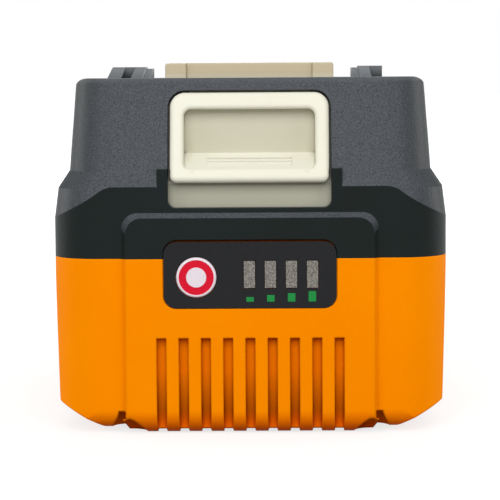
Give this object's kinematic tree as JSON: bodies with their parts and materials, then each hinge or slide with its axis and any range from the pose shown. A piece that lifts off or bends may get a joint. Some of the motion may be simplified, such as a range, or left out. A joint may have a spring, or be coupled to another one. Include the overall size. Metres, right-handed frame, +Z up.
{
  "type": "power tool battery pack",
  "caption": "Slide-on battery pack with an orange tub, dark rail head, cream latch button and a charge gauge with a check button.",
  "frame": {"origin": "middle of the pack's footprint, on the surface that it stands on", "axes": "+X to the right seen from the button side, +Y from the button towards the terminal end, +Z up"},
  "size_m": [0.075, 0.115, 0.07],
  "materials": {
    "orange_shell": "fine matt",
    "dark_shell": "spark-eroded",
    "cream_plastic": "satin",
    "white_plastic": "printed",
    "label_film": "satin print",
    "light_guide": "frosted",
    "circuit_board": "lacquered",
    "chip_package": "moulded",
    "cable_ribbon": "smooth",
    "holder_plastic": "moulded",
    "insulating_sheet": "fish paper",
    "steel": "zinc plated",
    "terminal_metal": "tinned",
    "connector_plastic": "moulded",
    "nickel": "nickel plated",
    "cell_wrap": "shrink film"
  },
  "bodies": {
    "pack": {"board_screws": "steel", "case_screws": "steel", "cell_high_1": "cell_wrap", "cell_high_2": "cell_wrap", "cell_high_3": "cell_wrap", "cell_high_4": "cell_wrap", "cell_high_5": "cell_wrap", "cell_holder_left": "holder_plastic", "cell_holder_right": "holder_plastic", "cell_low_1": "cell_wrap", "cell_low_2": "cell_wrap", "cell_low_3": "cell_wrap", "cell_low_4": "cell_wrap", "cell_low_5": "cell_wrap", "cell_strip_left_1": "nickel", "cell_strip_left_2": "nickel", "cell_strip_left_3": "nickel", "cell_strip_right_1": "nickel", "cell_strip_right_2": "nickel", "cell_strip_right_3": "nickel", "check_switch": "chip_package", "control_chip": "chip_package", "gauge_board": "circuit_board", "gauge_cable": "cable_ribbon", "gauge_label": "label_film", "gauge_lights": "light_guide", "light_guides": "light_guide", "lower_case": "orange_shell", "main_board": "circuit_board", "negative_terminal": "terminal_metal", "positive_terminal": "terminal_metal", "power_transistors": "chip_package", "side_sheet_left": "insulating_sheet", "side_sheet_right": "insulating_sheet", "signal_connector": "connector_plastic", "signal_pins": "terminal_metal", "spring_left": "steel", "spring_right": "steel", "thermistor": "chip_package", "upper_case": "dark_shell"},
    "release_button": {"release_button": "cream_plastic"},
    "check_button": {"check_button": "white_plastic"}
  },
  "joints": [
    {"name": "release_slide", "type": "slide", "parent": "pack", "child": "release_button", "axis": [0, 0, -1], "range_m": [0, 0.0044], "stiffness_N_per_m": 900, "springref_m": -0.003, "deforming": ["spring_left", "spring_right"]},
    {"name": "check_press", "type": "slide", "parent": "pack", "child": "check_button", "axis": [0, 1, 0], "range_m": [0, 0.0006], "stiffness_N_per_m": 500, "springref_m": -0.0005}
  ]
}
